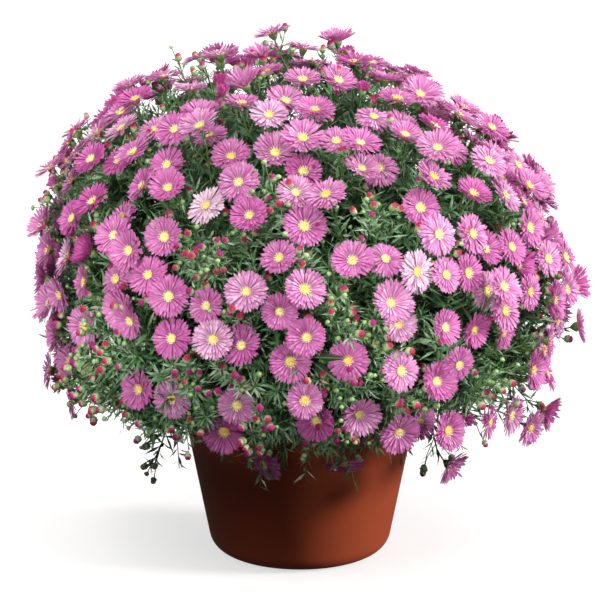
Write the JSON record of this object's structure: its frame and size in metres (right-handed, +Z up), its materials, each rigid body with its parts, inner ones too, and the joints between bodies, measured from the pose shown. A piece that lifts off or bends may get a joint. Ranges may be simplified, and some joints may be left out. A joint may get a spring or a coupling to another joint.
{
  "type": "potted new york aster",
  "caption": "Domed flowering aster plant with leafy stems, flower sprays and buds, growing in soil in a plain tapered pot.",
  "frame": {"origin": "centre of the pot's flat underside, on the surface that it stands on", "axes": "+Z up through the middle of the pot; the picture looks along +Y, with +X to its right"},
  "size_m": [0.4553, 0.4475, 0.4396],
  "materials": {
    "pot": "satin",
    "soil": "matte",
    "leaf": "matte",
    "bloom": "matte"
  },
  "bodies": {
    "root": {"pot": "pot", "soil": "soil", "leafy_stem_01": "leaf", "leafy_stem_02": "leaf", "leafy_stem_03": "leaf", "leafy_stem_04": "leaf", "leafy_stem_05": "leaf", "leafy_stem_06": "leaf", "leafy_stem_07": "leaf", "leafy_stem_08": "leaf", "leafy_stem_09": "leaf", "leafy_stem_10": "leaf", "leafy_stem_11": "leaf", "leafy_stem_12": "leaf", "leafy_stem_13": "leaf", "leafy_stem_14": "leaf", "leafy_stem_15": "leaf", "leafy_stem_16": "leaf", "leafy_stem_17": "leaf", "leafy_stem_18": "leaf", "leafy_stem_19": "leaf", "leafy_stem_20": "leaf", "leafy_stem_21": "leaf", "leafy_stem_22": "leaf", "leafy_stem_23": "leaf", "leafy_stem_24": "leaf", "flower_spray_01": "bloom", "flower_spray_02": "bloom", "flower_spray_03": "bloom", "flower_spray_04": "bloom", "flower_spray_05": "bloom", "flower_spray_06": "bloom", "flower_spray_07": "bloom", "flower_spray_08": "bloom", "flower_spray_09": "bloom", "flower_spray_10": "bloom", "flower_spray_11": "bloom", "flower_spray_12": "bloom", "flower_spray_13": "bloom", "flower_spray_14": "bloom", "flower_spray_15": "bloom", "flower_spray_16": "bloom", "flower_spray_17": "bloom", "flower_spray_18": "bloom", "flower_spray_19": "bloom", "flower_spray_20": "bloom", "flower_spray_21": "bloom", "flower_spray_22": "bloom", "flower_spray_23": "bloom", "flower_spray_24": "bloom"}
  },
  "joints": []
}
